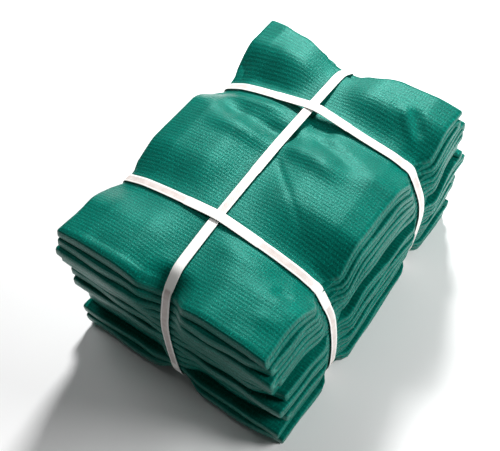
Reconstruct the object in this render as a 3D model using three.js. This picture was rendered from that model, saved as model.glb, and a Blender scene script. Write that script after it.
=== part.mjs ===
// Folded shade netting, held by three straps.
//
// A knitted net is folded in half lengthwise and then back and forth into an oblong pile.
// One strap runs along the pile and two run across it, and they press soft troughs into it.
// Millimetres, +Z up. X runs along the pile, from the front (-X) to the back (+X), and the
// right side is -Y. The origin is under the middle of the finished part, on the floor.
//
// The pile is worked out plain first, as even layers in an oblong block. The function press
// then moves each of its points to where the straps and the soft form put it.
import * as THREE from 'three';

// The band: the net folded in half, so its right edge is closed and its left edge is open.
// Its two halves lie pressed together but for a short slot along the open edge.
const LAYERS = 25;
const BAND = 7.4;
const BAND_GAP = 1.25;
const PITCH = BAND + BAND_GAP;
const SLOT = 1.2;

// The plain pile.
const LENGTH = 400;
const WIDTH = 277;
const HEIGHT = LAYERS * PITCH - BAND_GAP;
const FOLD_AT = LENGTH / 2 - PITCH;

// The straps. The cross straps stand a little askew, by so much for each millimetre of width.
const STRAP_WIDTH = 12;
const STRAP_THICKNESS = 1;
const STRAP_GAP = 0.4;
const LONG_Y = 5;
const LONG_SKEW = 0.04;
const CROSS_SKEW = -0.035;

// Each row is a cross strap: its place along the pile, and how far it presses the top face
// down in the middle and then further at the right and left edges.
const CROSS_STRAPS = [
  { name: 'strap_near', x: -86, middle: 7, right: 19, left: 10 },
  { name: 'strap_far', x: 106, middle: 13, right: 8, left: 19 },
];
const STEEPENS = { right: 1.5, left: 2 };

// A trough is flat under its strap, to this distance from the middle, and its flanks rise
// over the reach. The long strap's troughs are felt only in the layers next to them, but it
// lifts the ends of the bottom layers and of many above them. Under the cross straps its
// top trough is almost gone.
const TROUGH_HALF = 8;
const TOP = { reach: 62, long: 9, longEnd: 3, felt: 6 * PITCH };
const GONE_AT_CROSSING = 0.9;
const BASE = { reach: 34, cross: 2.2, crossEdge: 8, long: 3.6, felt: 2 * PITCH };
const BASE_END = { reach: 44, height: 13, felt: 15 * PITCH };

// The sides and ends: how far they bulge, and how far a strap draws them in all the way up,
// and then further near the top and the base. The bulge dies away towards the back end.
const RIGHT_SIDE = { bulge: 13, depth: 3, top: 9, base: 5 };
const LEFT_SIDE = { bulge: 8, depth: 0, top: 3, base: 4 };
const SIDE_REACH = 44;
const END = { reach: 34, bulge: 4, depth: 4, top: 5, base: 4 };
const NEAR_TOP = 0.7;
const NEAR_FLOOR = 0.15;
const SWELL = { turn: 0.82 * Math.PI, fullness: 0.8 };
const TAPER = { from: 120, to: 200, share: 0.6 };

// The soft form of the top: a crown that is lower towards the ends, and rounded side edges.
const CROWN = 8;
const CROWN_LOSS = 0.6;
const SHOULDER = 4;

// Where the outer parts of the pile begin, as places across and along it, and how quickly
// the reach of the sides and ends dies away inwards.
const OUTER = 0.8;
const OUTER_END = { from: 0.78, to: 0.96 };
const INWARD = { side: 4, end: 5 };

// Each row is a pair of layers, from the top down, with how far its edges reach beyond the
// plain pile: the front fold, the back fold, and the right and left sides.
const FOLDS = [
  { front: 0, back: -6, right: 0, left: 2.5 },
  { front: 6, back: 8, right: 2, left: 3.5 },
  { front: 4, back: 7, right: 3, left: 4.5 },
  { front: 0, back: 3, right: 1, left: 3.5 },
  { front: -4, back: 5, right: -5, left: 2 },
  { front: -5, back: 15, right: 3, left: 2 },
  { front: -3, back: 9, right: 4, left: 0 },
  { front: -9, back: 7, right: 0, left: -1 },
  { front: -12, back: 11, right: 3, left: -3 },
  { front: -14, back: 10, right: 1, left: 0 },
  { front: 2, back: 7, right: 0, left: 3 },
  { front: 5, back: 4, right: 4, left: 2 },
  { front: 3, back: 0, right: 2, left: 3 },
];
const LAYER_WOBBLE = 0.8;

// The free back edge of the top layer: it juts out at the left, is drawn in under the long
// strap and bulges again at the right.
const TOP_EDGE = [
  { y: 139, x: 205 },
  { y: 80, x: 192 },
  { y: 42, x: 183 },
  { y: 6, x: 174 },
  { y: -30, x: 190 },
  { y: -70, x: 201 },
  { y: -139, x: 202 },
];

// The lines of the mesh. Every layer has those that the cross straps need, with one between
// the straps, and the top layer has one more. Folds and the layers that feel the long strap
// have its lines too.
const MIDDLE_X = 10;
const TOP_LINE_X = 172;
const FLANK_X = 48;
const FLANK_Y = 36;
const OUTER_Y = 110;
const TOP_LINES_Y = [80, -70];
const linesBeside = (at, flank) => [at - flank, at - TROUGH_HALF, at + TROUGH_HALF, at + flank];
const X_LINES = [...CROSS_STRAPS.flatMap(({ x }) => linesBeside(x, FLANK_X)), MIDDLE_X].sort((a, b) => a - b);
const Y_PLAIN = [OUTER_Y, -OUTER_Y];
const Y_STRAP = [...Y_PLAIN, ...linesBeside(LONG_Y, FLANK_Y)].sort((a, b) => b - a);
const Y_TOP = [...Y_STRAP, ...TOP_LINES_Y].sort((a, b) => b - a);

const clamp = (v, low, high) => Math.min(high, Math.max(low, v));
const smooth = (v) => {
  const t = clamp(v, 0, 1);
  return t * t * (3 - 2 * t);
};

// How far a value has gone from one number towards another, 0 to 1.
const part = (v, from, to) => clamp((v - from) / (to - from), 0, 1);

// 1 under a strap, falling softly to 0 at the given reach from its middle.
const under = (distance, reach) => 1 - smooth(part(Math.abs(distance), TROUGH_HALF, reach));
const underLong = (y, reach) => under(y - LONG_Y, reach);
const underCross = (x, reach) => Math.max(...CROSS_STRAPS.map((strap) => under(x - strap.x, reach)));

// Places in the plain pile, 0 at its middle and 1 at its side or end.
const across = (y) => Math.abs(y) / (WIDTH / 2);
const along = (x) => Math.abs(x) / (LENGTH / 2);

// How far the cross straps press the top face down at a place.
function crossPress(x, y) {
  const side = y > 0 ? 'left' : 'right';
  const edge = clamp(across(y), 0, 1) ** STEEPENS[side];
  const depths = CROSS_STRAPS.map((strap) => {
    return under(x - strap.x, TOP.reach) * (strap.middle + strap[side] * edge);
  });
  return Math.max(...depths);
}

// How far the top layers rise over the plain pile: a low crown, with a trough along it.
function topLift(x, y) {
  const longDepth = TOP.long + TOP.longEnd * smooth(part(along(x), OUTER, 1));
  const left = 1 - GONE_AT_CROSSING * underCross(x, TOP.reach);
  const crown = CROWN * (1 - across(y) ** 2) * (1 - CROWN_LOSS * along(x) ** 2);
  return crown - underLong(y, TOP.reach) * longDepth * left - SHOULDER * part(across(y), OUTER, 1);
}

// How far the straps lift the layers from below.
function baseLift(x, y, z) {
  const edge = BASE.crossEdge * smooth(part(across(y), OUTER, 1));
  const cross = underCross(x, BASE.reach) * (BASE.cross + edge) * (1 - z / HEIGHT);
  const long = underLong(y, BASE.reach) * BASE.long * part(z, BASE.felt, 0);
  const atEnd = smooth(part(along(x), OUTER_END.from, OUTER_END.to)) * part(z, BASE_END.felt, 0);
  return cross + long + underLong(y, BASE_END.reach) * BASE_END.height * atEnd;
}

// How far a point of the plain pile moves up, or down where it is negative.
function lift(x, y, z) {
  const nearTop = part(z, HEIGHT - TOP.felt, HEIGHT);
  return nearTop * topLift(x, y) - (z / HEIGHT) * crossPress(x, y) + baseLift(x, y, z);
}

// How far a strap draws a side or an end in at height h, 0 at the floor and 1 at the top.
function drawnIn({ depth, top, base }, h) {
  return depth + top * smooth(part(h, NEAR_TOP, 1)) + base * smooth(part(h, NEAR_FLOOR, 0));
}

// How far the right or left side stands out.
function sideReach(x, y, h) {
  const side = y > 0 ? LEFT_SIDE : RIGHT_SIDE;
  const swell = side.bulge * Math.sin(SWELL.turn * clamp(1 - h, 0, 1)) ** SWELL.fullness;
  const kept = 1 - TAPER.share * smooth(part(x, TAPER.from, TAPER.to));
  return swell * kept - underCross(x, SIDE_REACH) * drawnIn(side, h);
}

// How far the front or back end stands out.
function endReach(y, h) {
  const swell = END.bulge * Math.sin(Math.PI * clamp(h, 0, 1));
  return swell - underLong(y, END.reach) * drawnIn(END, h);
}

// The straps' slant: how far a line across the pile moves along it, and the other way round.
const slantX = (x, y) => CROSS_SKEW * y * (1 - clamp(along(x), 0, 1) ** 2);
const slantY = (x, y) => LONG_SKEW * x * (1 - clamp(across(y), 0, 1) ** 2);

// Moves a point of the plain pile to its place in the pressed one.
function press(x, y, z) {
  const h = z / HEIGHT;
  return new THREE.Vector3(
    x + slantX(x, y) + endReach(y, h) * Math.sign(x) * along(x) ** INWARD.end,
    y + slantY(x, y) + sideReach(x, y, h) * Math.sign(y) * across(y) ** INWARD.side,
    z + lift(x, y, z),
  );
}

// A value read from a table of rows by one named column, straight between the rows.
function fromTable(rows, key, value, at) {
  let i = 0;
  while (i < rows.length - 2 && at < rows[i + 1][key]) i += 1;
  const t = part(at, rows[i][key], rows[i + 1][key]);
  return rows[i][value] + t * (rows[i + 1][value] - rows[i][value]);
}

// The row of FOLDS whose front or back fold a layer shares. Layers count from the bottom.
const frontRow = (layer) => FOLDS[Math.floor((LAYERS - 1 - layer) / 2)];
const backRow = (layer) => FOLDS[Math.floor((LAYERS - 2 - layer) / 2)];

// The lines along the pile in a layer.
const linesAlong = (layer) => (layer === LAYERS - 1 ? [...X_LINES, TOP_LINE_X] : X_LINES);

// The lines across the band in a layer, and near its folds.
function linesAcross(layer, nearFold) {
  if (layer === LAYERS - 1) return Y_TOP;
  const felt = layer >= LAYERS - 6 || layer <= 1;
  return felt || nearFold ? Y_STRAP : Y_PLAIN;
}

// The band's run, from the free front end of the bottom layer to the free back end of the
// top one. Each station says where the middle of the band is and how it has turned.
function bandRun() {
  const run = [];
  for (let layer = 0; layer < LAYERS; layer += 1) {
    const z = BAND / 2 + layer * PITCH;
    const forward = layer % 2 === 0;
    const turn = forward ? 0 : Math.PI;
    const xs = [-FOLD_AT, ...linesAlong(layer), FOLD_AT];
    if (!forward) xs.reverse();
    xs.forEach((x, i) => {
      const end = Math.abs(x) === FOLD_AT ? Math.sign(x) : 0;
      const nearFold = i <= 1 || i >= xs.length - 2;
      run.push({ layer, x, z, turn, end, lines: linesAcross(layer, nearFold) });
    });
    if (layer < LAYERS - 1) run.push(...foldStations(layer, z, turn, forward ? 1 : -1));
  }
  return run;
}

// The stations round a fold, from one layer up to the next.
function foldStations(layer, z, turn, side) {
  return [1 / 3, 2 / 3].map((way) => {
    const angle = Math.PI * way;
    return {
      layer,
      x: side * (FOLD_AT + (PITCH / 2) * Math.sin(angle)),
      z: z + (PITCH / 2) * (1 - Math.cos(angle)),
      turn: turn + side * angle,
      end: side,
      lines: linesAcross(layer, true),
    };
  });
}

// The band cut across: its upper face, the closed right edge, its lower face and the slot.
// Each point has its place across the pile (y) and through the band (n). Its place round the
// ring (u) is only used to pair it with the next ring's: 0 to 0.3 on the upper face, round
// 0.35 at the closed edge, 0.4 to 0.7 on the lower face, and then the slot.
const FACE_U = 0.3;
const NOSE_U = 0.35;
const NOSE_ROUND = 0.45;
function bandRing(lines) {
  const edge = WIDTH / 2;
  const half = BAND / 2;
  const u = (y) => FACE_U * ((edge - y) / WIDTH);
  const upper = [edge, ...lines, half - edge].map((y) => ({ u: u(y), y, n: half }));
  const lower = upper.map((p) => ({ u: 2 * NOSE_U - p.u, y: p.y, n: -half })).reverse();
  const nose = [1, -1].map((side) => ({ u: NOSE_U - 0.01 * side, y: -edge, n: NOSE_ROUND * half * side }));
  const slot = [
    { u: 0.75, y: edge, n: -SLOT / 2 },
    { u: 0.8, y: OUTER_Y, n: 0 },
    { u: 0.95, y: edge, n: SLOT / 2 },
  ];
  return [...upper, ...nose, ...lower, ...slot];
}

// Where a point of the plain pile lies along it, with its fold's own reach.
function reachAlong({ layer, turn, end, x }, y, n) {
  const plain = x - n * Math.sin(turn);
  const free = 1 - underLong(y, END.reach);
  if (end < 0) return plain - frontRow(layer).front * free;
  if (end === 0) return plain;
  if (layer === LAYERS - 1) return fromTable(TOP_EDGE, 'y', 'x', y);
  return plain + backRow(layer).back * free;
}

// Where it lies across the pile, with its layer's own reach. Under the cross straps the
// layers are even.
function reachAcross({ layer, x }, y) {
  const { right, left } = frontRow(layer);
  const wobble = layer % 2 === 0 ? LAYER_WOBBLE : -LAYER_WOBBLE;
  const reach = y > 0 ? left : -(right + wobble);
  return y + reach * across(y) ** INWARD.side * (1 - underCross(x, SIDE_REACH));
}

// The ring at a station, in its place in the pressed pile.
function placedRing(place) {
  return bandRing(place.lines).map(({ u, y, n }) => {
    const atX = reachAlong(place, y, n);
    const atY = reachAcross(place, y);
    return { u, x: atX, y: atY, point: press(atX, atY, place.z + n * Math.cos(place.turn)) };
  });
}

// Joins two rings in the order of their places round the ring, though their points may differ
// in number. Every face of the pile is split along the same diagonal, so that the layers,
// which lie close together, bend alike.
function joinRings(a, b, triangles) {
  let i = 0;
  let j = 0;
  while (i < a.length || j < b.length) {
    const [p, nextP] = [a[i % a.length], a[(i + 1) % a.length]];
    const [q, nextQ] = [b[j % b.length], b[(j + 1) % b.length]];
    const uP = i < a.length ? (a[i + 1]?.u ?? 1) : Infinity;
    const uQ = j < b.length ? (b[j + 1]?.u ?? 1) : Infinity;
    const sameWay = (q.x - nextP.x) * (q.y - nextP.y) > 0;
    if (uP < uQ || (uP === uQ && sameWay)) {
      triangles.push(p.index, nextP.index, q.index);
      i += 1;
    } else {
      triangles.push(p.index, nextQ.index, q.index);
      j += 1;
    }
  }
}

// Closes the band's cut end, from the nose to the line beside the slot and then round the slot.
function closeEnd(ring, triangles, flip) {
  const outer = ring.slice(0, -3);
  const [slotLower, slotTip, slotUpper] = ring.slice(-3);
  const last = outer.length - 1;
  const nose = outer.length / 2 - 1;
  const add = (...corners) => {
    const indices = corners.map((p) => p.index);
    triangles.push(...(flip ? indices : indices.reverse()));
  };
  for (let i = 1; i < nose; i += 1) {
    add(outer[i], outer[last - i], outer[i + 1]);
    add(outer[i + 1], outer[last - i], outer[last - i - 1]);
  }
  add(outer[1], outer[0], slotUpper);
  add(outer[1], slotUpper, slotTip);
  add(outer[1], slotTip, outer[last - 1]);
  add(outer[last - 1], slotTip, slotLower);
  add(outer[last - 1], slotLower, outer[last]);
}

function geometry(points, triangles) {
  const made = new THREE.BufferGeometry();
  made.setAttribute('position', new THREE.Float32BufferAttribute(points.flatMap((p) => [p.x, p.y, p.z]), 3));
  made.setIndex(triangles);
  made.computeVertexNormals();
  return made;
}

function foldedNet() {
  const points = [];
  const triangles = [];
  const rings = bandRun().map(placedRing);
  for (const item of rings.flat()) {
    item.index = points.length;
    points.push(item.point);
  }
  for (let i = 0; i + 1 < rings.length; i += 1) joinRings(rings[i], rings[i + 1], triangles);
  closeEnd(rings[0], triangles, true);
  closeEnd(rings[rings.length - 1], triangles, false);
  return { points, geometry: geometry(points, triangles) };
}

// A tight loop round points of a plane, as [along, up], counter-clockwise.
function tightLoop(points) {
  const sorted = [...points].sort((a, b) => a[0] - b[0] || a[1] - b[1]);
  const leftTurn = (o, a, b) => (a[0] - o[0]) * (b[1] - o[1]) > (a[1] - o[1]) * (b[0] - o[0]);
  const chain = (list) => {
    const kept = [];
    for (const p of list) {
      while (kept.length > 1 && !leftTurn(kept[kept.length - 2], kept[kept.length - 1], p)) kept.pop();
      kept.push(p);
    }
    return kept.slice(0, -1);
  };
  return [...chain(sorted), ...chain(sorted.reverse())];
}

// Leaves out the loop's points that lie almost on the line between their neighbours, but
// never two in a row, so that the loop stays where it is.
const LOOP_TOLERANCE = 0.08;
function plainLoop(loop) {
  const kept = [...loop];
  for (let i = 0; i < kept.length; i += 1) {
    const before = kept[(i + kept.length - 1) % kept.length];
    const after = kept[(i + 1) % kept.length];
    const [dx, dz] = [after[0] - before[0], after[1] - before[1]];
    const off = Math.abs(dx * (kept[i][1] - before[1]) - dz * (kept[i][0] - before[0])) / Math.hypot(dx, dz);
    if (off < LOOP_TOLERANCE) kept.splice(i, 1);
  }
  return kept;
}

// The loop moved outwards by a distance.
function widerLoop(loop, distance) {
  const outward = (a, b) => {
    const size = Math.hypot(b[0] - a[0], b[1] - a[1]);
    return [(b[1] - a[1]) / size, (a[0] - b[0]) / size];
  };
  return loop.map((p, i) => {
    const n1 = outward(loop[(i + loop.length - 1) % loop.length], p);
    const n2 = outward(p, loop[(i + 1) % loop.length]);
    const scale = distance / (1 + n1[0] * n2[0] + n1[1] * n2[1]);
    return [p[0] + scale * (n1[0] + n2[0]), p[1] + scale * (n1[1] + n2[1])];
  });
}

// The heights at which a loop passes a place along it, lowest and highest.
function loopHeights(loop, at) {
  const heights = loop.flatMap((a, i) => {
    const b = loop[(i + 1) % loop.length];
    const t = (at - a[0]) / (b[0] - a[0]);
    return t >= 0 && t <= 1 ? [a[1] + t * (b[1] - a[1])] : [];
  });
  return [Math.min(...heights), Math.max(...heights)];
}

// A flat strap drawn tight round points of its plane. place puts a point of the loop, at a
// distance from the strap's middle, in the part.
function strap(around, place) {
  const loop = plainLoop(tightLoop(around));
  const inner = widerLoop(loop, STRAP_GAP);
  const outer = widerLoop(loop, STRAP_GAP + STRAP_THICKNESS);
  const half = STRAP_WIDTH / 2;
  const corners = [[inner, -half], [outer, -half], [outer, half], [inner, half]];
  const points = loop.flatMap((_, i) => corners.map(([line, side]) => place(line[i], side)));
  const triangles = [];
  for (let i = 0; i < loop.length; i += 1) {
    const here = 4 * i;
    const next = 4 * ((i + 1) % loop.length);
    for (let k = 0; k < 4; k += 1) {
      const m = (k + 1) % 4;
      triangles.push(here + k, next + k, next + m, here + k, next + m, here + m);
    }
  }
  return { outer, geometry: geometry(points, triangles) };
}

// The long strap's middle at a place along the pile, and a cross strap's at a place across it.
const longAt = (x) => LONG_Y + LONG_SKEW * x;
const crossAt = (atX, y) => atX + slantX(atX, y);
const CLEARED = 1.5;
const UNDER_STRAP = TROUGH_HALF + CLEARED;

function longStrap(net) {
  const pressed = net.points.filter((p) => Math.abs(p.y - longAt(p.x)) < UNDER_STRAP);
  const around = pressed.map((p) => [p.x, p.z]);
  return strap(around, ([x, z], side) => new THREE.Vector3(x, longAt(x) - side, z));
}

// A cross strap lies over the long one at the top and under it at the base.
function crossStrap(net, atX, long) {
  const pressed = net.points.filter((p) => Math.abs(p.x - crossAt(atX, p.y)) < UNDER_STRAP);
  const around = pressed.map((p) => [p.y, p.z]);
  for (const x of [atX - STRAP_WIDTH / 2, atX + STRAP_WIDTH / 2]) {
    for (const side of [-STRAP_WIDTH / 2, STRAP_WIDTH / 2]) {
      for (const z of loopHeights(long.outer, x)) around.push([longAt(x) + side, z]);
    }
  }
  return strap(around, ([y, z], side) => new THREE.Vector3(crossAt(atX, y) + side, y, z));
}

const netFinish = new THREE.MeshStandardMaterial({ color: 0x12826e, roughness: 0.6, metalness: 0 });
const strapFinish = new THREE.MeshStandardMaterial({ color: 0xf2f1ec, roughness: 0.45, metalness: 0 });

const net = foldedNet();
const long = longStrap(net);
const pieces = [
  { name: 'netting', made: net, finish: netFinish },
  { name: 'strap_long', made: long, finish: strapFinish },
  ...CROSS_STRAPS.map(({ name, x }) => ({ name, made: crossStrap(net, x, long), finish: strapFinish })),
];

// The origin goes under the middle of the whole part.
const box = new THREE.Box3();
const bundle = new THREE.Group();
for (const { name, made, finish } of pieces) {
  const mesh = new THREE.Mesh(made.geometry, finish);
  mesh.name = name;
  bundle.add(mesh);
  made.geometry.computeBoundingBox();
  box.union(made.geometry.boundingBox);
}
bundle.position.set(-(box.min.x + box.max.x) / 2, -(box.min.y + box.max.y) / 2, 0);

export default bundle;
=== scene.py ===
# %% [markdown]
# # Folded shade netting
#
# Shade netting is a light knitted net of green polyethylene tape. For storage it is folded in
# half lengthwise, then back and forth into a pile, and three straps hold it. This lesson does
# the same: it cuts a flat cloth, marks its folds, folds it with a few formulas, and lays
# straps, materials, light and a camera round it. Sizes are in millimetres until the last step.

import math

import bmesh
import bpy
from mathutils import Matrix, Vector, noise
from mathutils.geometry import convex_hull_2d


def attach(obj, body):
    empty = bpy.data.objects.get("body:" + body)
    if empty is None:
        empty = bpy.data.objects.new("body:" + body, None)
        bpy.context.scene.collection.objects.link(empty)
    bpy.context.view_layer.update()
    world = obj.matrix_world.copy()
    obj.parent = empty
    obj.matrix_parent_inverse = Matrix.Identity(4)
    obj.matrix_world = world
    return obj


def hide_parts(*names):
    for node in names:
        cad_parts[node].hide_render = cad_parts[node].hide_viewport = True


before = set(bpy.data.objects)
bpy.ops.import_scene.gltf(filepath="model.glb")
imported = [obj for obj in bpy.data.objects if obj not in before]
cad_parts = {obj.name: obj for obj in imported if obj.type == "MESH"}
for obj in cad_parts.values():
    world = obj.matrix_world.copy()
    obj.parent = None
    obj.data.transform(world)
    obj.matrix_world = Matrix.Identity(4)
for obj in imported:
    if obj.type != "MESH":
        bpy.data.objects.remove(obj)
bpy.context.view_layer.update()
MM = 0.001

# %% [markdown]
# ## The camera
#
# The camera stands where the photograph was taken from: high above the front right corner,
# with a slightly long lens. Its place is given by two angles round the pile, a roll, a distance and
# a small offset, and its own axes are worked out from them.

# %% Camera
CAMERA = {"azimuth": -49.6, "elevation": 54.3, "roll": -4.9,
          "distance": 1184, "aside": -25.2, "above": 61.1}
FOCAL_PIXELS = 891
FRAME_WIDTH = 500
SENSOR = 36
PILE_MIDDLE = Vector((-6.335, 4.22, 0))


def camera_axes(azimuth, elevation, roll):
    back = Vector((math.sin(azimuth) * math.cos(elevation), -math.cos(azimuth) * math.cos(elevation),
                   math.sin(elevation)))
    right = Vector((math.cos(azimuth), math.sin(azimuth), 0))
    up = back.cross(right)
    turned = right * math.cos(roll) + up * math.sin(roll)
    return right, up, back, turned, back.cross(turned)


def make_camera(place):
    angles = [math.radians(place[key]) for key in ("azimuth", "elevation", "roll")]
    right, up, back, across, upward = camera_axes(*angles)
    data = bpy.data.cameras.new("camera")
    data.sensor_fit = "HORIZONTAL"
    data.sensor_width = SENSOR
    data.lens = FOCAL_PIXELS * SENSOR / FRAME_WIDTH
    data.clip_end = 20
    camera = bpy.data.objects.new("camera", data)
    bpy.context.scene.collection.objects.link(camera)
    at = back * place["distance"] + right * place["aside"] + up * place["above"] + PILE_MIDDLE
    camera.matrix_world = Matrix.Translation(at * MM) @ Matrix((across, upward, back)).transposed().to_4x4()
    bpy.context.scene.camera = camera
    print("camera at", [round(v) for v in at], "mm, lens", round(data.lens, 1), "mm")


make_camera(CAMERA)

# %% [markdown]
# ## The pile's sizes
#
# The net lies in 25 layers. Each layer is the net folded in half, so it has a closed edge on
# the right, which shows as a rounded rim, and two open edges on the left. The sizes and the
# table of folds are those of the solid model, so that the fine cloth lies where it does.
# Ranges such as NEAR_EDGE are shares of the half width, the half length or the height, and a
# change comes in softly between their two values.

# %% Sizes of the pile
LAYERS = 25
BAND = 7.4
BAND_GAP = 1.25
PITCH = BAND + BAND_GAP
LENGTH = 400
WIDTH = 277
HEIGHT = LAYERS * PITCH - BAND_GAP
FOLD_AT = LENGTH / 2 - PITCH
EDGE = WIDTH / 2

LONG_Y = 5
LONG_SKEW = 0.04
CROSS_SKEW = {"left": -0.035, "right": -0.012}
CROSS_STRAPS = (
    {"x": -86, "middle": 7, "right": 19, "left": 10},
    {"x": 106, "middle": 13, "right": 8, "left": 19},
)
STEEPENS = {"right": 1.5, "left": 2}

TROUGH_HALF = 8
TOP = {"reach": 62, "long": 9, "end": 3, "felt": 6 * PITCH}
BASE = {"reach": 34, "cross": 2.2, "edge": 8, "long": 3.6, "felt": 2 * PITCH}
BASE_END = {"reach": 44, "height": 13, "felt": 15 * PITCH}
RIGHT_SIDE = {"bulge": 13, "depth": 3, "top": 9, "base": 5}
LEFT_SIDE = {"bulge": 8, "depth": 0, "top": 3, "base": 4}
END = {"reach": 34, "bulge": 4, "depth": 4, "top": 5, "base": 4}
SIDE_REACH = 26
TAPER = {"from": 120, "to": 200, "share": 0.6}
UNDERCUT = {"from": -60, "to": 150, "height": 0.6}
FRONT_SHOULDER = {"from": -160, "to": -204, "reach": 34, "down": 15, "in": 5, "felt": 9 * PITCH}
MIDDLE_RISE = {"height": 8, "end": 0.6}
SHOULDER = 4
STRAPS_SHARE = 0.9
NEAR_EDGE = (0.8, 1)
NEAR_END = (0.78, 0.96)
UPPER_PART = (0.7, 1)
LOWER_PART = (0.15, 0)
SWELL = {"below": 0.82, "soft": 0.8}

FOLDS = (
    {"front": 0, "back": -6, "right": 0, "left": 2.5},
    {"front": 3, "back": 8, "right": 2, "left": 3.5},
    {"front": 4, "back": 7, "right": 3, "left": 4.5},
    {"front": 0, "back": 3, "right": 1, "left": 3.5},
    {"front": -4, "back": 5, "right": -5, "left": 2},
    {"front": -5, "back": 15, "right": 3, "left": 2},
    {"front": -3, "back": 9, "right": 4, "left": 0},
    {"front": -9, "back": 7, "right": 0, "left": -1},
    {"front": -12, "back": 11, "right": 3, "left": -3},
    {"front": -14, "back": 10, "right": 1, "left": 0},
    {"front": -2, "back": 7, "right": 0, "left": 3},
    {"front": 1, "back": 4, "right": 4, "left": 2},
    {"front": 0, "back": 0, "right": 2, "left": 3},
)
TOP_EDGE = ((139, 206), (80, 198), (42, 190), (6, 178), (-30, 187), (-70, 197), (-139, 200))
print("the plain pile is", LENGTH, "x", WIDTH, "x", HEIGHT, "mm")


# %% [markdown]
# ## Helpers
#
# Nothing on a pile of cloth starts or ends sharply. These few functions give soft steps from
# 0 to 1 and a wave that is uneven and yet the same each run.

# %% Small helpers for soft forms
def clamp(value, low=0.0, high=1.0):
    return min(high, max(low, value))


def part(value, start, end):
    """How far a value has gone from start to end, 0 to 1."""
    return clamp((value - start) / (end - start))


def smooth(value):
    return value * value * (3 - 2 * value)


def ripple(x, y, z, size):
    """A soft wave between -1 and 1, the same each run, with hollows of about that size."""
    return noise.noise(Vector((x, y, z)) / size)


# %% [markdown]
# ## The cloth, cut flat
#
# The cloth starts as a flat grid, because cloth is flat before it is folded. Its rows are not
# even: they are close where the cloth will bend and far apart where it will lie flat inside
# the pile. The grid operator makes the sheet, each vertex then slides to its line, and
# solidify gives the sheet its thickness.

# %% The lines of the flat cloth
PLY = 3.45
SLOT = 0.9
RUN = 2 * FOLD_AT
TURN = math.pi * PITCH / 2
NOSE = math.pi / 2 * (SLOT / 2 + PLY / 2)
FLAT_HALF = NOSE + WIDTH - BAND / 2

TURN_STEPS = 8
ALONG_LAYER = (-191.35, -186, -178, -134, -94, -78, -38, 10, 58, 98, 114, 154, 178, 186, 191.35)
FROM_CLOSED_EDGE = (0.25, 0.5, 0.75, 1.0)
OPEN_EDGE = 0.8
PLAIN_ACROSS = (128, 110, 80, 41, 13, -3, -31, -70, -110, -128)


def lines_along():
    """The rows of the cloth along its length: those of each layer and those of each turn."""
    rows = []
    for layer in range(LAYERS):
        start = layer * (RUN + TURN)
        rows += [start + FOLD_AT + x for x in ALONG_LAYER]
        if layer < LAYERS - 1:
            rows += [start + RUN + TURN * k / TURN_STEPS for k in range(1, TURN_STEPS)]
    return rows


def lines_across():
    """The columns of the cloth from one open edge, round the closed edge, to the other."""
    half = [NOSE * share for share in FROM_CLOSED_EDGE]
    half += [NOSE + y + EDGE - BAND / 2 for y in reversed(PLAIN_ACROSS)]
    half += [FLAT_HALF - OPEN_EDGE, FLAT_HALF]
    return [-w for w in reversed(half)] + [0] + half


rows, columns = lines_along(), lines_across()


# %% Make the flat cloth
def flat_cloth():
    bm = bmesh.new()
    bmesh.ops.create_grid(bm, x_segments=len(columns) - 1, y_segments=len(rows) - 1, size=1)
    for vertex in bm.verts:
        column = round((vertex.co.x + 1) / 2 * (len(columns) - 1))
        row = round((vertex.co.y + 1) / 2 * (len(rows) - 1))
        vertex.co = (columns[column], rows[row], PLY)
    bmesh.ops.solidify(bm, geom=bm.faces[:], thickness=PLY)
    return bm


cloth = flat_cloth()
heights = [v.co.z for v in cloth.verts]
print("flat cloth:", len(cloth.faces), "faces, from", round(min(heights), 2), "to", round(max(heights), 2))

# %% [markdown]
# ## Finer rows where the cloth shows
#
# Only the rims of the layers show: the closed edges on the right, the open edges on the left
# and the turns at the ends. Subdividing just the edges that lie there keeps the whole cloth
# under 200,000 triangles and still gives each rim a point every few millimetres. The top
# layer shows all over, so it is cut finely everywhere: first its edges across the cloth, then
# those along it with the new ones, because only then does each face become an even grid.

# %% Cut the rims finer
FINE_STEP = 6.5
TOP_STEP = 2.8
RIM = 12
TOP_START = (LAYERS - 1) * (RUN + TURN)


def layer_of(s):
    """The layer, and how far along it a place of the cloth lies."""
    layer = min(LAYERS - 1, int(s / (RUN + TURN)))
    return layer, s - layer * (RUN + TURN)


def ends(edge):
    a, b = (v.co for v in edge.verts)
    return (a + b) / 2, abs(a.x - b.x), abs(a.y - b.y)


def is_rim(middle):
    """True near the closed edge and near the open edges, on the cloth's outer face."""
    return middle.z > PLY / 2 and (abs(middle.x) < NOSE + RIM or abs(middle.x) > FLAT_HALF - RIM)


def is_turn(middle):
    """True where the cloth's outer face bends round outside a turn of the pile."""
    layer, s = layer_of(middle.y)
    after, before = s > RUN - RIM, s < RIM and layer > 0
    turn = layer if after else layer - 1
    outside = middle.x > 0 if turn % 2 == 0 else middle.x < 0
    return middle.z > PLY / 2 and (after or before) and outside


def is_top(middle):
    return middle.z > PLY / 2 and middle.y > TOP_START - TURN and middle.x < NOSE


def cut(bm, chosen, step, across):
    """Subdivides each chosen edge that runs across the cloth, or each that runs along it."""
    groups = {}
    for edge in bm.edges:
        middle, wide, long = ends(edge)
        length = max(wide, long)
        if (wide > long) == across and length > 1.5 * step and chosen(middle):
            groups.setdefault(round(length / step) - 1, []).append(edge)
    for cuts, edges in sorted(groups.items()):
        bmesh.ops.subdivide_edges(bm, edges=edges, cuts=cuts, use_grid_fill=True)


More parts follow.
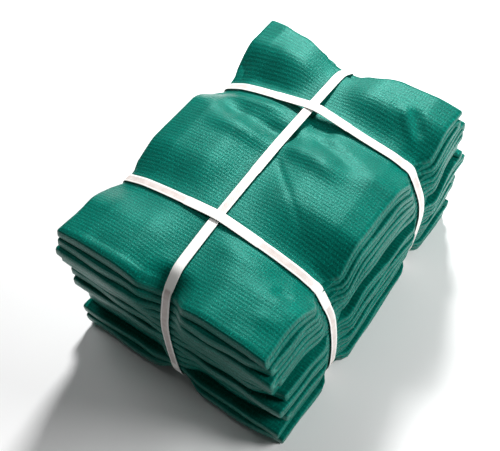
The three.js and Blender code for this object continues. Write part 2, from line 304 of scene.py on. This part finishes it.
cut(cloth, is_top, TOP_STEP, across=True)
cut(cloth, is_top, TOP_STEP, across=False)
cut(cloth, is_rim, FINE_STEP, across=False)
cut(cloth, is_turn, FINE_STEP, across=True)
bmesh.ops.triangulate(cloth, faces=[f for f in cloth.faces if len(f.verts) > 4])
triangles = sum(len(f.verts) - 2 for f in cloth.faces)
print("cut finer:", len(cloth.verts), "vertices,", triangles, "triangles")

# %% [markdown]
# ## Folding lengthwise
#
# The first fold halves the cloth: its middle line becomes the closed right edge, and its two
# edges meet on the left. Across the band a place is given by y, and through it by n. Near the
# fold line the cloth bends round a flat nose, because the rims are pressed square in the
# pile. Each point of the thickness keeps its distance from the inside of the fold.

# %% Fold in half
SQUARE = 0.42
ROUNDED = {"share": 0.35, "over": 1.0}


def fold_in_half(w, t):
    """The place across the band and through it of a point of the flat cloth."""
    inside = SLOT / 2 + t
    upper = 1 if w < 0 else -1
    away = abs(w)
    if away >= NOSE:
        near_rim = part(away, FLAT_HALF - ROUNDED["over"], FLAT_HALF) if t > PLY / 2 else 0
        return BAND / 2 - EDGE + away - NOSE, upper * inside * (1 - ROUNDED["share"] * near_rim)
    angle = math.pi / 2 * away / NOSE
    forward = math.cos(angle) ** SQUARE
    sideways = math.sin(angle) ** SQUARE
    return BAND / 2 - EDGE - inside * forward, upper * inside * sideways


# %% [markdown]
# ## Folding back and forth
#
# The halved cloth then runs to the back, turns up and runs to the front, 25 times. A place
# along the cloth gives the layer, the place along the pile and how far the band has turned.
# Each turn reaches out by its own amount, read from the table of folds, and wavers a little
# along its length, because a net is folded by hand.

# %% Fold back and forth
WAVER = {"size": 46, "turn": 2.6, "side": 1.6, "far": 90, "seed": 40}
NOSE_FROM = 150
TURN_SQUARE = 0.4


def back_and_forth(s, n):
    """The layer, the place along the pile and the height of a point of the band."""
    layer, along = layer_of(s)
    side = 1 if layer % 2 == 0 else -1
    z = BAND / 2 + layer * PITCH
    if along <= RUN:
        return layer, side * (along - FOLD_AT), z + side * n
    way = math.pi * clamp((along - RUN) / TURN)
    radius = PITCH / 2 - side * n
    out = math.sin(way) ** TURN_SQUARE
    rise = math.copysign(abs(math.cos(way)) ** TURN_SQUARE, math.cos(way))
    return layer, side * (FOLD_AT + radius * out), z + PITCH / 2 - radius * rise


CORNER_POCKETS = (0, 6, 1, 11, 2, 9, 0, 8, 3, 10, 1, 6, 0)
POCKET_REACH = (-104, -138)


def front_row(layer):
    return FOLDS[(LAYERS - 1 - layer) // 2]


def back_row(layer):
    return FOLDS[max(0, (LAYERS - 2 - layer) // 2)]


def under(distance, reach):
    """1 under a strap, falling softly to 0 at the reach."""
    return 1 - smooth(part(abs(distance), TROUGH_HALF, reach))


def under_long(y, reach):
    return under(y - LONG_Y, reach)


def under_cross(x, reach):
    return max(under(x - strap["x"], reach) for strap in CROSS_STRAPS)


def top_edge(y):
    """How far back the free edge of the top layer lies."""
    for (y0, x0), (y1, x1) in zip(TOP_EDGE, TOP_EDGE[1:]):
        if y >= y1:
            return x0 + smooth(part(y, y0, y1)) * (x1 - x0)
    return TOP_EDGE[-1][1]


def reach_along(layer, x, y):
    """How far a point moves along the pile with its fold's own reach."""
    out = part(abs(x), NOSE_FROM, FOLD_AT) ** 1.5
    if out == 0:
        return 0
    free = 1 - under_long(y, END["reach"])
    if x > 0 and layer == LAYERS - 1:
        return (top_edge(y) - FOLD_AT) * out
    fold = (layer + 1) // 2 if x < 0 else layer // 2 + WAVER["seed"]
    waver = WAVER["turn"] * ripple(y, fold * WAVER["far"], 0, WAVER["size"]) * (layer < LAYERS - 2)
    if x > 0:
        return (back_row(layer)["back"] + waver) * free * out
    pocket = CORNER_POCKETS[(LAYERS - 1 - layer) // 2] * smooth(part(y, *POCKET_REACH))
    return (pocket - (front_row(layer)["front"] + waver) * free) * out


def reach_across(layer, x, y):
    """How far a point moves across the pile with its layer's own reach."""
    row = front_row(layer)
    waver = WAVER["side"] * ripple(x, layer * WAVER["far"], WAVER["seed"], WAVER["size"])
    reach = row["left"] + waver if y > 0 else -(row["right"] + waver)
    return reach * (abs(y) / EDGE) ** 4 * (1 - under_cross(x, SIDE_REACH))


# %% [markdown]
# ## Pressing the pile
#
# The straps press soft troughs into the pile, draw its sides in and lift its lower edges. The
# same few formulas as in the solid model move every point, here on a fine mesh. Because they
# move the whole inside of the pile smoothly, the layers keep their order.

# %% Press
def cross_press(x, y):
    """How far the cross straps press the top down."""
    side = "left" if y > 0 else "right"
    edge = clamp(abs(y) / EDGE) ** STEEPENS[side]
    return max(under(x - strap["x"], TOP["reach"]) * (strap["middle"] + strap[side] * edge)
               for strap in CROSS_STRAPS)


def top_lift(x, y):
    """How far the top stands above the plain pile, or below it under the long strap."""
    along, across = abs(x) / (LENGTH / 2), abs(y) / EDGE
    long_depth = TOP["long"] + TOP["end"] * smooth(part(along, *NEAR_EDGE))
    kept = 1 - STRAPS_SHARE * under_cross(x, TOP["reach"])
    rise = MIDDLE_RISE["height"] * (1 - across ** 2) * (1 - MIDDLE_RISE["end"] * along ** 2)
    return rise - under_long(y, TOP["reach"]) * long_depth * kept - SHOULDER * part(across, *NEAR_EDGE)


def base_lift(x, y, z):
    """How far the straps lift the lower layers."""
    along, across = abs(x) / (LENGTH / 2), abs(y) / EDGE
    edge = BASE["edge"] * smooth(part(across, *NEAR_EDGE))
    cross = under_cross(x, BASE["reach"]) * (BASE["cross"] + edge) * (1 - z / HEIGHT)
    long = under_long(y, BASE["reach"]) * BASE["long"] * part(z, BASE["felt"], 0)
    at_end = smooth(part(along, *NEAR_END)) * part(z, BASE_END["felt"], 0)
    return cross + long + under_long(y, BASE_END["reach"]) * BASE_END["height"] * at_end


def drawn_in(row, h):
    """How far a strap draws a side in at a height, 0 to 1, of the pile."""
    upper, lower = smooth(part(h, *UPPER_PART)), smooth(part(h, *LOWER_PART))
    return row["depth"] + row["top"] * upper + row["base"] * lower


def side_reach(x, y, h):
    """How far a side bulges out, or is drawn in under a strap."""
    row = LEFT_SIDE if y > 0 else RIGHT_SIDE
    swell = row["bulge"] * math.sin(SWELL["below"] * math.pi * clamp(1 - h)) ** SWELL["soft"]
    swell *= 1 - TAPER["share"] * smooth(part(x, TAPER["from"], TAPER["to"]))
    if y < 0:
        swell *= 1 - smooth(part(x, UNDERCUT["from"], UNDERCUT["to"])) * part(h, UNDERCUT["height"], 0)
    return swell - under_cross(x, SIDE_REACH) * drawn_in(row, h)


def end_reach(y, h):
    """How far an end bulges out, or is drawn in under the long strap."""
    bulge = END["bulge"] * math.sin(math.pi * clamp(h))
    return bulge - under_long(y, END["reach"]) * drawn_in(END, h)


def slant_x(x, y):
    """How far the cross straps lean away from square at a place of the pile."""
    return CROSS_SKEW["left" if y > 0 else "right"] * y * (1 - clamp(abs(x) / (LENGTH / 2)) ** 2)


def press(x, y, z):
    """Moves a point of the plain pile to its place in the pressed one."""
    h = z / HEIGHT
    along, across = abs(x) / (LENGTH / 2), abs(y) / EDGE
    slant_y = LONG_SKEW * x * (1 - clamp(across) ** 2)
    near_top = part(z, HEIGHT - TOP["felt"], HEIGHT)
    shoulder = under_long(y, FRONT_SHOULDER["reach"]) * part(z, HEIGHT - FRONT_SHOULDER["felt"], HEIGHT)
    shoulder *= smooth(part(x, FRONT_SHOULDER["from"], FRONT_SHOULDER["to"]))
    lift = near_top * top_lift(x, y) - h * cross_press(x, y) + base_lift(x, y, z)
    lift -= FRONT_SHOULDER["down"] * shoulder
    out_x = end_reach(y, h) * along ** 5 * (1 if x > 0 else -1) + FRONT_SHOULDER["in"] * shoulder
    out_y = side_reach(x, y, h) * across ** 4 * (1 if y > 0 else -1)
    return Vector((x + slant_x(x, y) + out_x, y + slant_y + out_y, z + lift))


# %% [markdown]
# ## Creases and slack
#
# Cloth under a strap never lies quite smooth. The creases are placed where the
# photograph shows them, each as a soft trough or ridge between two points. Only the outer face
# of the top layer takes them. What lies below it gives way by up to ROOM's depth, where it
# can't be seen, so that a trough meets nothing. Deeper in, the layers only waver.

# %% Creases
CREASES = (
    {"start": (57, 104), "end": (54, 6), "width": 13, "depth": 11},
    {"start": (26, 96), "end": (28, 14), "width": 12, "depth": -4},
    {"start": (79, 108), "end": (84, 36), "width": 8, "depth": -5},
    {"start": (84, 0), "end": (88, -36), "width": 8, "depth": 4},
    {"start": (40, 0), "end": (28, -74), "width": 12, "depth": -5},
    {"start": (72, -18), "end": (48, -88), "width": 10, "depth": 5},
    {"start": (160, -86), "end": (134, -112), "width": 7, "depth": -4},
    {"start": (164, -100), "end": (140, -116), "width": 7, "depth": 4},
    {"start": (150, -26), "end": (148, -84), "width": 16, "depth": -3},
    {"start": (158, 98), "end": (150, 36), "width": 16, "depth": -3},
    {"start": (122, 108), "end": (120, 44), "width": 9, "depth": 3},
    {"start": (17, -2), "end": (-14, -36), "width": 3, "depth": 1.3},
    {"start": (-14, -36), "end": (-45, -72), "width": 3, "depth": 1.3},
    {"start": (-112, -84), "end": (-114, -18), "width": 14, "depth": -4},
    {"start": (-166, -98), "end": (-158, -134), "width": 10, "depth": -2},
    {"start": (-126, -98), "end": (-124, -116), "width": 6, "depth": 4},
    {"start": (-192, 124), "end": (-188, 12), "width": 3, "depth": -1.8},
)
CREASE_SPREAD = 3
CREASE_START = (-0.25, 0.3)
CREASE_END = (1.25, 0.7)
SLACK = {"size": 75, "height": 1.5, "tall": 0.8, "top": 1.0, "strap": 20, "seed": 300}
ROOM = {"depth": 11.5, "felt": 7 * PITCH, "side": (104, 124), "end": (164, 186)}


def crease_depth(x, y, crease):
    """How deep a crease is at a place: a soft bell across it, tapering at both ends."""
    (x0, y0), (x1, y1) = crease["start"], crease["end"]
    dx, dy = x1 - x0, y1 - y0
    length = math.hypot(dx, dy)
    t = ((x - x0) * dx + (y - y0) * dy) / length ** 2
    beside = ((x - x0) * dy - (y - y0) * dx) / length / crease["width"]
    if abs(beside) > CREASE_SPREAD:
        return 0
    taper = smooth(part(t, *CREASE_START)) * smooth(part(t, *CREASE_END))
    return crease["depth"] * math.exp(-beside * beside) * taper


def slack(x, y, z):
    """How far slack moves a point up."""
    inner = math.sin(math.pi * clamp(z / HEIGHT))
    return SLACK["height"] * inner * ripple(x, y, z * SLACK["tall"], SLACK["size"])


def creased(x, y):
    """How far the creases and a little waviness move the top face up."""
    wave = SLACK["top"] * ripple(x, y, SLACK["seed"], SLACK["size"] / 2)
    soft = wave * (1 - under_cross(x, SLACK["strap"]))
    return soft - sum(crease_depth(x, y, crease) for crease in CREASES)


def room(x, y, z):
    """How far the hidden layers give way, so that the creases of the top face have room."""
    free = (1 - smooth(part(abs(y), *ROOM["side"]))) * (1 - smooth(part(abs(x), *ROOM["end"])))
    return ROOM["depth"] * free * part(z, HEIGHT - ROOM["felt"], HEIGHT)


# %% Fold the whole cloth
def folded(w, s, t):
    """The place in the pile of a point of the flat cloth."""
    y, n = fold_in_half(w, t)
    layer, x, z = back_and_forth(s, n)
    x += reach_along(layer, x, y)
    y += reach_across(layer, x, y)
    point = press(x, y, z)
    on_top = layer == LAYERS - 1 and w < NOSE and t > PLY / 2
    point.z += slack(x, y, z) + (creased(x, y) if on_top else -room(x, y, z))
    return (point + PILE_MIDDLE) * MM


FACE_STRETCH = 1.15


def along_face(w, s, t):
    """How far along the cloth a point is, measured on its own face, which is longer outside a turn."""
    layer, along = layer_of(s)
    side = 1 if layer % 2 == 0 else -1
    n = (1 if w < 0 else -1) * (SLOT / 2 + t)
    way = math.pi * clamp((along - RUN) / TURN)
    return s - FACE_STRETCH * n * (side * way + (math.pi if side < 0 else 0))


def cloth_coordinates(bm):
    """Keeps each corner's place on the flat cloth, in metres, as the cloth's UV map."""
    layer = bm.loops.layers.uv.new("cloth")
    for face in bm.faces:
        for loop in face.loops:
            loop[layer].uv = (loop.vert.co.x * MM, along_face(*loop.vert.co) * MM)


def finished(name, bm):
    """Turns a bmesh into an object at the origin, smooth shaded."""
    bmesh.ops.recalc_face_normals(bm, faces=bm.faces[:])
    mesh = bpy.data.meshes.new(name)
    bm.to_mesh(mesh)
    bm.free()
    mesh.shade_smooth()
    piece = bpy.data.objects.new(name, mesh)
    bpy.context.scene.collection.objects.link(piece)
    return piece


cloth_coordinates(cloth)
for vertex in cloth.verts:
    vertex.co = folded(*vertex.co)
netting = finished("folded_netting", cloth)
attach(netting, "root")
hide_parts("netting")
low, high = Vector(netting.bound_box[0]) / MM, Vector(netting.bound_box[6]) / MM
print("folded netting from", [round(v, 1) for v in low], "to", [round(v, 1) for v in high])

# %% [markdown]
# ## The straps
#
# The straps are flat plastic strapping, drawn tight: 11 mm wide, 12 mm at the sleeves, and
# 0.8 mm thick. They could be read from the solid straps, but then they would float over the
# finer cloth or sink into it. So each loop is found from the cloth's own points under the
# strap: a tight strap takes the hull of those points, with small rounded bends. The loop is
# extruded across and made solid, and its edges are bevelled, as rolled strapping has soft edges.

# %% Find a tight loop
STRAP_WIDTH = 11
STRAP_THICKNESS = 0.8
STRAP_CLEAR = 0.3
STRAP_STEP = 3
BEND_RADIUS = 1.4
BEND_CORNERS = 12
ROUNDING_PASSES = 2
LONG_BOW = 2.6
SLID = {"all": 1.6, "right": 1.8, "grows": (0, -70), "fades": (-140, -110)}


def long_middle(x):
    """Where the long strap's middle line lies across the pile."""
    return LONG_Y + LONG_SKEW * x + LONG_BOW * (1 - clamp(abs(x) / (LENGTH / 2)) ** 2)


def cross_middle(strap, y):
    """Where a cross strap's middle line lies along the pile; it slid a little on the right."""
    slid = smooth(part(y, *SLID["grows"])) * smooth(part(y, *SLID["fades"]))
    return strap["x"] + slant_x(strap["x"], y) - SLID["all"] - SLID["right"] * slid


def tight_loop(points):
    """The loop that a tight strap takes round the points of its own plane, in even steps."""
    turns = [2 * math.pi * k / BEND_CORNERS for k in range(BEND_CORNERS)]
    bend = [(BEND_RADIUS * math.cos(turn), BEND_RADIUS * math.sin(turn)) for turn in turns]
    rounded = [(points[k][0] + u, points[k][1] + v) for k in convex_hull_2d(points) for u, v in bend]
    corners = [rounded[k] for k in convex_hull_2d(rounded)]
    sides = [(Vector(a), Vector(b)) for a, b in zip(corners, corners[1:] + corners[:1])]
    whole = sum((b - a).length for a, b in sides)
    count = round(whole / STRAP_STEP)
    loop, gone = [], 0
    for a, b in sides:
        length = (b - a).length
        while len(loop) < count and len(loop) * whole / count <= gone + length:
            loop.append(a.lerp(b, (len(loop) * whole / count - gone) / length))
        gone += length
    for _ in range(ROUNDING_PASSES):
        loop = [(loop[k - 1] + 2 * p + loop[(k + 1) % count]) / 4 for k, p in enumerate(loop)]
    return loop


def outward(loop, distance):
    """The loop moved out by a distance."""
    count = len(loop)
    moved = []
    for k, p in enumerate(loop):
        way = loop[(k + 1) % count] - loop[k - 1]
        moved.append(p + Vector((way.y, -way.x)).normalized() * distance)
    return moved


# %% Make a strap
SLEEVE_WIDER = 0.5
STRAP_BEVEL = 0.3
STRAP_CUTS = 3
SHARP_ANGLE = math.radians(60)


def travelled(loop):
    """How far each point lies from the top's middle, in mm, positive to the front and right."""
    count = len(loop)
    upper = [k for k in range(count) if loop[k].y >= HEIGHT / 2]
    top = min(upper, key=lambda k: abs(loop[k].x))
    step = sum((loop[k] - loop[k - 1]).length for k in range(count)) / count
    way = -1 if loop[(top + 1) % count].x > loop[top].x else 1
    turns = [((k - top) * way + count // 2) % count - count // 2 for k in range(count)]
    return [turn * step for turn in turns]


def in_sleeve(arc, sleeves):
    return any(start <= arc <= end for start, end in sleeves)


def strap_piece(name, node, loop, place, sleeves):
    """A flat strap that follows the loop; place gives a loop point's position in space."""
    bm = bmesh.new()
    bmesh.ops.create_circle(bm, segments=len(loop), radius=1)
    along = bm.verts.layers.float.new("along_strap")
    aside = bm.verts.layers.float.new("across_strap")
    printed = bm.verts.layers.float.new("printed")
    ring = bm.verts[:]
    for vertex, (u, v), arc in zip(ring, loop, travelled(loop)):
        half = STRAP_WIDTH / 2 + (SLEEVE_WIDER if in_sleeve(arc, sleeves) else 0)
        vertex.co = place(u, v, -half)
        vertex[along], vertex[aside] = arc, -half
        vertex[printed] = 0 if in_sleeve(arc, sleeves) else 1
    grown = bmesh.ops.extrude_edge_only(bm, edges=bm.edges[:])["geom"]
    for vertex in (g for g in grown if isinstance(g, bmesh.types.BMVert)):
        vertex.co += (place(0, 0, 1) - place(0, 0, 0)) * -2 * vertex[aside]
        vertex[aside] *= -1
    bmesh.ops.subdivide_edges(bm, edges=[e for e in bm.edges if e.is_manifold], cuts=STRAP_CUTS)
    bmesh.ops.recalc_face_normals(bm, faces=bm.faces[:])
    bmesh.ops.solidify(bm, geom=bm.faces[:], thickness=-STRAP_THICKNESS)
    bm.normal_update()
    sharp = [e for e in bm.edges if e.calc_face_angle(0) > SHARP_ANGLE]
    bmesh.ops.bevel(bm, geom=sharp, offset=STRAP_BEVEL, offset_type="OFFSET", affect="EDGES",
                    segments=2, profile=0.5, material=-1)
    bmesh.ops.scale(bm, verts=bm.verts[:], vec=(MM, MM, MM))
    piece = finished(name, bm)
    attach(piece, "root")
    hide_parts(node)
    return piece


# %% Lay the three straps
def cloth_near(middle, along, across):
    """The cloth's points under a strap, in the strap's own plane."""
    points = [v.co / MM - PILE_MIDDLE for v in netting.data.vertices]
    return [(p[along], p.z) for p in points if abs(p[across] - middle(p)) < STRAP_WIDTH / 2]


SLEEVES = {
    "strap_long": ((-200, 13), (84, 186), (330, 376)),
    "strap_near": ((-47, 55), (128, 163)),
    "strap_far": ((-63, 44), (119, 142)),
}


def lay_long():
    loop = tight_loop(cloth_near(lambda p: long_middle(p.x), 0, 1))
    loop = outward(loop, STRAP_CLEAR)

    def place(x, z, aside):
        return Vector((x, long_middle(x) + aside, z)) + PILE_MIDDLE
    return loop, strap_piece("strap_along", "strap_long", loop, place, SLEEVES["strap_long"])


def lay_cross(name, node, strap, under_loop):
    points = cloth_near(lambda p: cross_middle(strap, p.y), 1, 0)
    crossing = [z for x, z in under_loop if abs(x - strap["x"]) < STRAP_WIDTH]
    over = max(crossing) + STRAP_THICKNESS
    points += [(LONG_Y + side * STRAP_WIDTH / 2, over) for side in (-1, 1)]
    loop = outward(tight_loop(points), STRAP_CLEAR)

    def place(y, z, aside):
        return Vector((cross_middle(strap, y) + aside, y, z)) + PILE_MIDDLE
    return strap_piece(name, node, loop, place, SLEEVES[node])


long_loop, strap_along = lay_long()
strap_front = lay_cross("strap_across_front", "strap_near", CROSS_STRAPS[0], long_loop)
strap_back = lay_cross("strap_across_back", "strap_far", CROSS_STRAPS[1], long_loop)
for piece in (strap_along, strap_front, strap_back):
    corners = [[round(v / MM, 1) for v in piece.bound_box[k]] for k in (0, 6)]
    print(piece.name, len(piece.data.polygons), "faces, from", *corners)

# %% [markdown]
# ## Materials
#
# A material is named for what the real thing is made of and how it was made. Colours are
# given as the hex values that one reads off a colour chart, and a function turns them into
# the linear values that the shaders want.

# %% Material helpers
def linear(hex_colour):
    """A colour as Blender's shaders want it, from an sRGB hex value."""
    channels = [int(hex_colour[k:k + 2], 16) / 255 for k in (0, 2, 4)]
    return [c / 12.92 if c <= 0.04045 else ((c + 0.055) / 1.055) ** 2.4 for c in channels] + [1]


def add_node(tree, kind, settings=None, inputs=None):
    """Adds a shader node, sets it up and fills or links its inputs."""
    node = tree.nodes.new("ShaderNode" + kind)
    for key, value in (settings or {}).items():
        setattr(node, key, value)
    for key, value in (inputs or {}).items():
        if isinstance(value, bpy.types.NodeSocket):
            tree.links.new(value, node.inputs[key])
        else:
            node.inputs[key].default_value = value
    return node


def new_material(name):
    material = bpy.data.materials.new(name)
    material.use_nodes = True
    tree = material.node_tree
    return material, tree, tree.nodes["Principled BSDF"]


def maths(tree, operation, *values):
    """One Math node and its result."""
    return add_node(tree, "Math", {"operation": operation}, dict(enumerate(values))).outputs[0]


def map_range(tree, value, old, new=(0.0, 1.0), kind="LINEAR"):
    """A value carried from one range over to another."""
    limits = {"From Min": old[0], "From Max": old[1], "To Min": new[0], "To Max": new[1]}
    node = add_node(tree, "MapRange", {"interpolation_type": kind}, {"Value": value, **limits})
    return node.outputs["Result"]


def mix(tree, share, first, second):
    """The first colour where the share is 0 and the second where it is 1."""
    return add_node(tree, "Mix", {"data_type": "RGBA"}, {0: share, 6: first, 7: second}).outputs[2]


def bands(tree, place, direction, scale, distortion=0.0, detail=2.0):
    """Parallel bands, 0 to 1."""
    return add_node(tree, "TexWave", {"bands_direction": direction}, {
        "Vector": place, "Scale": scale, "Distortion": distortion, "Detail": detail}).outputs["Fac"]


def specks(tree, place, scale, detail, roughness=0.5):
    """Uneven noise, 0 to 1."""
    return add_node(tree, "TexNoise", {}, {
        "Vector": place, "Scale": scale, "Detail": detail, "Roughness": roughness}).outputs["Fac"]


def wave_scale(pitch):
    """The Wave Texture's scale for bands that repeat every pitch, in millimetres."""
    return 2 * math.pi / (20 * pitch * MM)


def noise_scale(size):
    """The Noise Texture's scale for patches of about a size, in millimetres."""
    return 1 / (size * MM)


# %% [markdown]
# ## The net's finish
#
# The net is knitted on a warp knitting machine from flat green polyethylene tape. Chains of
# stitches run side by side as ribs, 4.4 mm apart, and the tape zigzags between them. To the
# eye that gives fine parallel lines, and many small glints where a flat tape faces the light.
# Here the base colour also carries painted shade, darker where the weave is low, and painted
# glints, lighter specks that show whatever way the tape faces.
# The pattern follows the cloth's own flat coordinates, so it turns with every fold. The
# single stitches are finer than the picture can show, so they are drawn a little coarser.

# %% Knitted polyethylene net
RIB_PITCH = 4.4
STITCH_PITCH = 3.2
GLINT_SIZE = 1.7
PATCH_SIZE = 34
# The deep colour is painted shade in the weave's low parts, and the glint colour is painted glint specks.
NET = {"deep": "013a31", "tape": "047364", "painted_glint": "08c0a8", "shine": "3cdcc8"}
WEAVE_HEIGHT = 0.6
RIB_SHARE = 0.22
STITCH_SHARE = 0.12


def knitted_net():
    """Dull green tape with faint ribs, painted shade where the weave is low, painted glint specks and a
    little unevenness.
    """
    material, tree, shader = new_material("knitted_polyethylene_tape_net")
    cloth_place = add_node(tree, "UVMap", {"uv_map": "cloth"}).outputs["UV"]
    ribs = bands(tree, cloth_place, "Y", wave_scale(RIB_PITCH), distortion=0.25, detail=0)
    stitches = bands(tree, cloth_place, "X", wave_scale(STITCH_PITCH), distortion=7)
    glints = specks(tree, cloth_place, noise_scale(GLINT_SIZE), detail=3, roughness=0.7)
    patches = specks(tree, cloth_place, noise_scale(PATCH_SIZE), detail=4, roughness=0.6)
    weave = maths(tree, "MULTIPLY_ADD", ribs, RIB_SHARE, glints)
    weave = maths(tree, "MULTIPLY_ADD", stitches, STITCH_SHARE, weave)
    # Painted shade: the base colour runs to the deep colour where the weave is low, between the ribs and
    # stitches.
    shade = map_range(tree, weave, (0.35, 1.0), (0.1, 1.0))
    body = mix(tree, shade, linear(NET["deep"]), linear(NET["tape"]))
    # Painted glints: fine specks of the base colour are made lighter, whatever way they face the lamps.
    painted_glint_share = map_range(tree, glints, (0.56, 0.78), (0.0, 0.7), kind="SMOOTHSTEP")
    glint_painted_colour = mix(tree, painted_glint_share, body, linear(NET["painted_glint"]))
    tone = map_range(tree, patches, (0.3, 0.7), (0.84, 1.14))
    toned = add_node(tree, "HueSaturation", {}, {"Color": glint_painted_colour, "Value": tone}).outputs["Color"]
    gloss = map_range(tree, glints, (0.35, 0.7), (0.48, 0.3))
    bump = add_node(tree, "Bump", {}, {"Height": weave, "Distance": WEAVE_HEIGHT * MM, "Strength": 0.8})
    tree.links.new(toned, shader.inputs["Base Color"])
    tree.links.new(gloss, shader.inputs["Roughness"])
    tree.links.new(bump.outputs["Normal"], shader.inputs["Normal"])
    shader.inputs["Specular IOR Level"].default_value = 0.4
    shader.inputs["Specular Tint"].default_value = linear(NET["shine"])
    return material


# %% [markdown]
# ## The straps' finish
#
# Strapping is rolled polypropylene, embossed with fine diamonds so that it grips. Here it is
# white, with a faint greyish pink band down its middle, and plain white sleeves in places.

# %% Embossed strapping
EMBOSS_PITCH = 1.6
EMBOSS_HEIGHT = 0.06
BAND_HALF = 3.5
BAND_SOFT = 0.5
WEAR_SCALE = 0.12
STRAP = {"white": "f4f2ee", "band": "c9bbb6"}


def strapping():
    """Smooth white plastic with an uneven grey pink band and a faint diamond relief."""
    material, tree, shader = new_material("embossed_polypropylene_strapping")
    along = add_node(tree, "Attribute", {"attribute_name": "along_strap"}).outputs["Fac"]
    across = add_node(tree, "Attribute", {"attribute_name": "across_strap"}).outputs["Fac"]
    printed = add_node(tree, "Attribute", {"attribute_name": "printed"}).outputs["Fac"]
    flat = add_node(tree, "CombineXYZ", {}, {"X": along, "Y": across}).outputs["Vector"]
    diamonds = bands(tree, flat, "DIAGONAL", wave_scale(EMBOSS_PITCH) * MM)
    from_middle = maths(tree, "ABSOLUTE", across)
    band_edge = (BAND_HALF + BAND_SOFT, BAND_HALF - BAND_SOFT)
    in_band = map_range(tree, from_middle, band_edge, kind="SMOOTHSTEP")
    wear = specks(tree, flat, WEAR_SCALE, detail=3)
    ink = maths(tree, "MULTIPLY", in_band, printed)
    mask = maths(tree, "MULTIPLY", ink, map_range(tree, wear, (0.3, 0.7), (0.6, 1.0)))
    colour = mix(tree, mask, linear(STRAP["white"]), linear(STRAP["band"]))
    bump = add_node(tree, "Bump", {}, {"Height": diamonds, "Distance": EMBOSS_HEIGHT * MM, "Strength": 0.4})
    tree.links.new(colour, shader.inputs["Base Color"])
    tree.links.new(bump.outputs["Normal"], shader.inputs["Normal"])
    shader.inputs["Roughness"].default_value = 0.42
    return material


netting.data.materials.append(knitted_net())
white = strapping()
for piece in (strap_along, strap_front, strap_back):
    piece.data.materials.append(white)

# %% [markdown]
# ## Floor and light
#
# The pile stands on a pale paper floor, as the photograph has a plain white ground. One lamp
# stands behind the pile, half way up the sky, so that the crests of the cloth shine towards
# the camera and the front stays dark. A softer lamp to the right shows the thin closed rims,
# and a weak one above fills the slopes that face the front. The world gives only a little
# light, so that the gaps between the layers stay deep.

# %% Floor and lights
FLOOR_SIZE = 6


def pale_floor():
    """A wide matt floor, which isn't part of the object."""
    bm = bmesh.new()
    bmesh.ops.create_grid(bm, x_segments=2, y_segments=2, size=FLOOR_SIZE)
    floor = finished("floor", bm)
    material, tree, shader = new_material("pale_paper_floor")
    shader.inputs["Base Color"].default_value = linear("fafafa")
    shader.inputs["Roughness"].default_value = 0.9
    floor.data.materials.append(material)


LIGHTS = (
    {"name": "back", "at": (1.1, 0.5, 1.15), "size": 0.3, "power": 40},
    {"name": "right", "at": (0.6, -1.35, 0.85), "size": 0.6, "power": 25},
    {"name": "above", "at": (-0.1, 0.6, 1.4), "size": 0.5, "power": 4},
)
AMBIENT = 0.05


def studio_light(row):
    """A square lamp that looks at the middle of the pile's footprint."""
    data = bpy.data.lights.new(row["name"], "AREA")
    data.size = row["size"]
    data.energy = row["power"]
    light = bpy.data.objects.new(row["name"], data)
    bpy.context.scene.collection.objects.link(light)
    light.location = row["at"]
    light.rotation_mode = "QUATERNION"
    light.rotation_quaternion = Vector(row["at"]).to_track_quat("Z", "Y")


pale_floor()
for row in LIGHTS:
    studio_light(row)
world = bpy.data.worlds.new("studio")
world.use_nodes = True
world.node_tree.nodes["Background"].inputs["Color"].default_value = (1, 1, 1, 1)
world.node_tree.nodes["Background"].inputs["Strength"].default_value = AMBIENT
bpy.context.scene.world = world
bpy.context.scene.view_settings.view_transform = "Standard"
